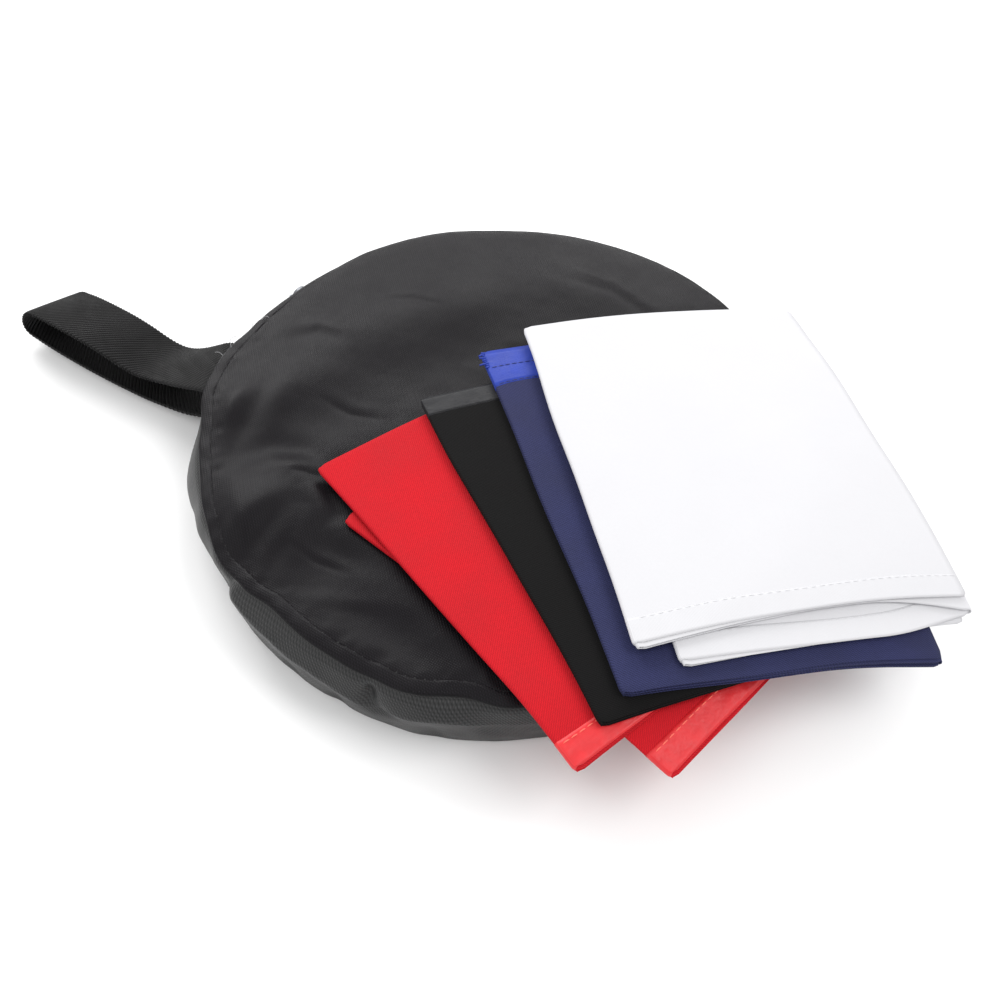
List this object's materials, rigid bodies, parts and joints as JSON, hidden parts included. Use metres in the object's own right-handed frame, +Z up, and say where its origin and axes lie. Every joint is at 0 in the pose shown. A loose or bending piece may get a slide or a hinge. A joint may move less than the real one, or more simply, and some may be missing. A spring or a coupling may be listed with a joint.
{
  "type": "collapsible backdrop panel",
  "caption": "Twist-folded pop-up photo panel in its round zip carry bag, with webbing loop and folded colour backdrop cloths fanned over the top.",
  "frame": {"origin": "centre of the round bag's underside, on the surface it lies on", "axes": "+Z up through the bag, -X the way the carry loop points, +Y toward the zip side"},
  "size_m": [0.4185, 0.2518, 0.0531],
  "materials": {
    "bag_nylon": "coated twill nylon, slight sheen",
    "seam_binding": "rolled nylon seam",
    "zip_tape": "woven tape",
    "zip_coil": "nylon coil",
    "zip_metal": "gunmetal",
    "webbing": "ribbed webbing",
    "spring_steel": "blued spring steel",
    "ferrule_metal": "crimped tube",
    "edge_fabric": "nylon edge channel",
    "panel_fabric": "folded panel cloth",
    "red_cloth": "peach-skin polyester",
    "red_satin": "satin tape",
    "black_cloth": "peach-skin polyester",
    "black_band": "matte band",
    "navy_cloth": "peach-skin polyester",
    "royal_satin": "satin tape",
    "white_cloth": "peach-skin polyester",
    "white_hem": "stitched hem"
  },
  "bodies": {
    "bag": {"bottom_panel": "bag_nylon", "gusset_front": "bag_nylon", "gusset_side": "bag_nylon", "gusset_rear": "bag_nylon", "top_panel": "bag_nylon", "top_seam_binding": "seam_binding", "bottom_seam_binding": "seam_binding", "zip_tape_lower": "zip_tape", "zip_teeth_lower": "zip_coil", "zip_stops": "zip_metal", "zip_end_tabs": "seam_binding", "handle_anchors": "webbing", "spring_hoop": "spring_steel", "hoop_sleeve": "edge_fabric", "hoop_ferrule": "ferrule_metal", "folded_panel": "panel_fabric"},
    "flap": {"top_flap": "bag_nylon", "flap_seam_binding": "seam_binding", "zip_tape_upper": "zip_tape", "zip_teeth_upper": "zip_coil"},
    "slider": {"zip_slider": "zip_metal"},
    "pull": {"zip_pull": "zip_metal"},
    "handle": {"handle_webbing": "webbing"},
    "red_cloth": {"red_backdrop": "red_cloth", "red_hem_tape": "red_satin"},
    "black_cloth": {"black_backdrop": "black_cloth", "black_hem_tape": "black_band"},
    "blue_cloth": {"blue_backdrop": "navy_cloth", "blue_hem_tape": "royal_satin"},
    "white_cloth": {"white_backdrop": "white_cloth", "white_hem_tape": "white_hem"}
  },
  "joints": [
    {"name": "flap_fold", "type": "hinge", "parent": "bag", "child": "flap", "pos_m": [-0.03875, 0.06448, 0.0338], "axis": [0.8572, 0.515, 0], "range_deg": [0, 60]},
    {"name": "zip_run", "type": "hinge", "parent": "bag", "child": "slider", "pos_m": [0, 0, 0.0275], "axis": [0, 0, -1], "range_deg": [0, 95]},
    {"name": "pull_swing", "type": "hinge", "parent": "slider", "child": "pull", "pos_m": [-0.12765, 0.02713, 0.025], "axis": [0.2079, 0.9781, 0], "range_deg": [0, 120]},
    {"name": "handle_swing", "type": "hinge", "parent": "bag", "child": "handle", "pos_m": [-0.122, -0.031, 0.0318], "axis": [0, 1, 0], "range_deg": [0, 80]},
    {"name": "red_lift", "type": "slide", "parent": "bag", "child": "red_cloth", "axis": [0, 0, 1], "range_m": [0, 0.08]},
    {"name": "black_lift", "type": "slide", "parent": "red_cloth", "child": "black_cloth", "axis": [0, 0, 1], "range_m": [0, 0.08]},
    {"name": "blue_lift", "type": "slide", "parent": "black_cloth", "child": "blue_cloth", "axis": [0, 0, 1], "range_m": [0, 0.08]},
    {"name": "white_lift", "type": "slide", "parent": "blue_cloth", "child": "white_cloth", "axis": [0, 0, 1], "range_m": [0, 0.08]}
  ],
  "couplings": [
    {"joint": "zip_run", "follows": "flap_fold", "ratio": 1.5667}
  ]
}
